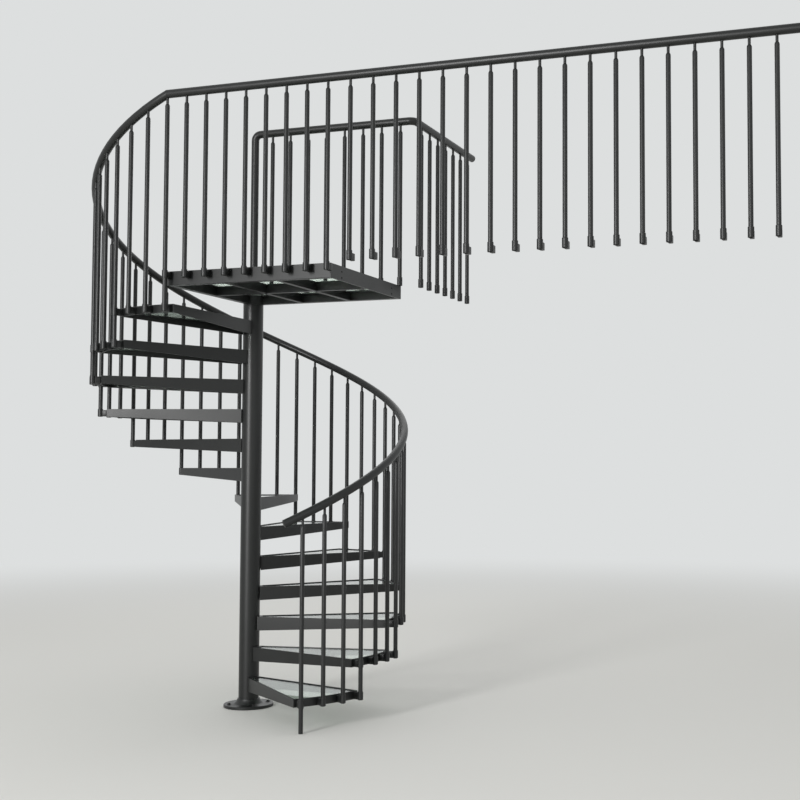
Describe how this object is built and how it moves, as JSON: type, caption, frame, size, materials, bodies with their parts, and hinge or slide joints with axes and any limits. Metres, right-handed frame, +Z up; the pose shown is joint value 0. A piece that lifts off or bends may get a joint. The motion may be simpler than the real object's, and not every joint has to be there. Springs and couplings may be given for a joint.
{
  "type": "spiral staircase",
  "caption": "Spiral staircase round a steel column, with glass treads in steel frames, a helical handrail on slim balusters and a square glass landing.",
  "frame": {"origin": "on the floor at the column's axis, in the underside of the base flange", "axes": "+Z up along the column; +X along the landing's straight handrail, from the column towards the upper floor; +Y from the column away from that handrail; the stair climbs counter-clockwise seen from above"},
  "size_m": [4.8068, 2.072, 3.795],
  "materials": {
    "black_steel": "satin black powder coat",
    "clear_glass": "clear laminated safety glass with a green tint at its edges"
  },
  "bodies": {
    "root": {"balcony_balusters": "black_steel", "column": "black_steel", "guard_balusters_edge": "black_steel", "guard_balusters_return": "black_steel", "guard_rail": "black_steel", "handrail_helical": "black_steel", "handrail_straight": "black_steel", "landing_balusters": "black_steel", "landing_frame": "black_steel", "landing_glass_panes": "clear_glass", "landing_wall_plate": "black_steel", "tread_balusters_01": "black_steel", "tread_balusters_02": "black_steel", "tread_balusters_03": "black_steel", "tread_balusters_04": "black_steel", "tread_balusters_05": "black_steel", "tread_balusters_06": "black_steel", "tread_balusters_07": "black_steel", "tread_balusters_08": "black_steel", "tread_balusters_09": "black_steel", "tread_balusters_10": "black_steel", "tread_balusters_11": "black_steel", "tread_balusters_12": "black_steel", "tread_balusters_13": "black_steel", "tread_frame_01": "black_steel", "tread_frame_02": "black_steel", "tread_frame_03": "black_steel", "tread_frame_04": "black_steel", "tread_frame_05": "black_steel", "tread_frame_06": "black_steel", "tread_frame_07": "black_steel", "tread_frame_08": "black_steel", "tread_frame_09": "black_steel", "tread_frame_10": "black_steel", "tread_frame_11": "black_steel", "tread_frame_12": "black_steel", "tread_frame_13": "black_steel", "tread_glass_panels": "clear_glass"}
  },
  "joints": []
}
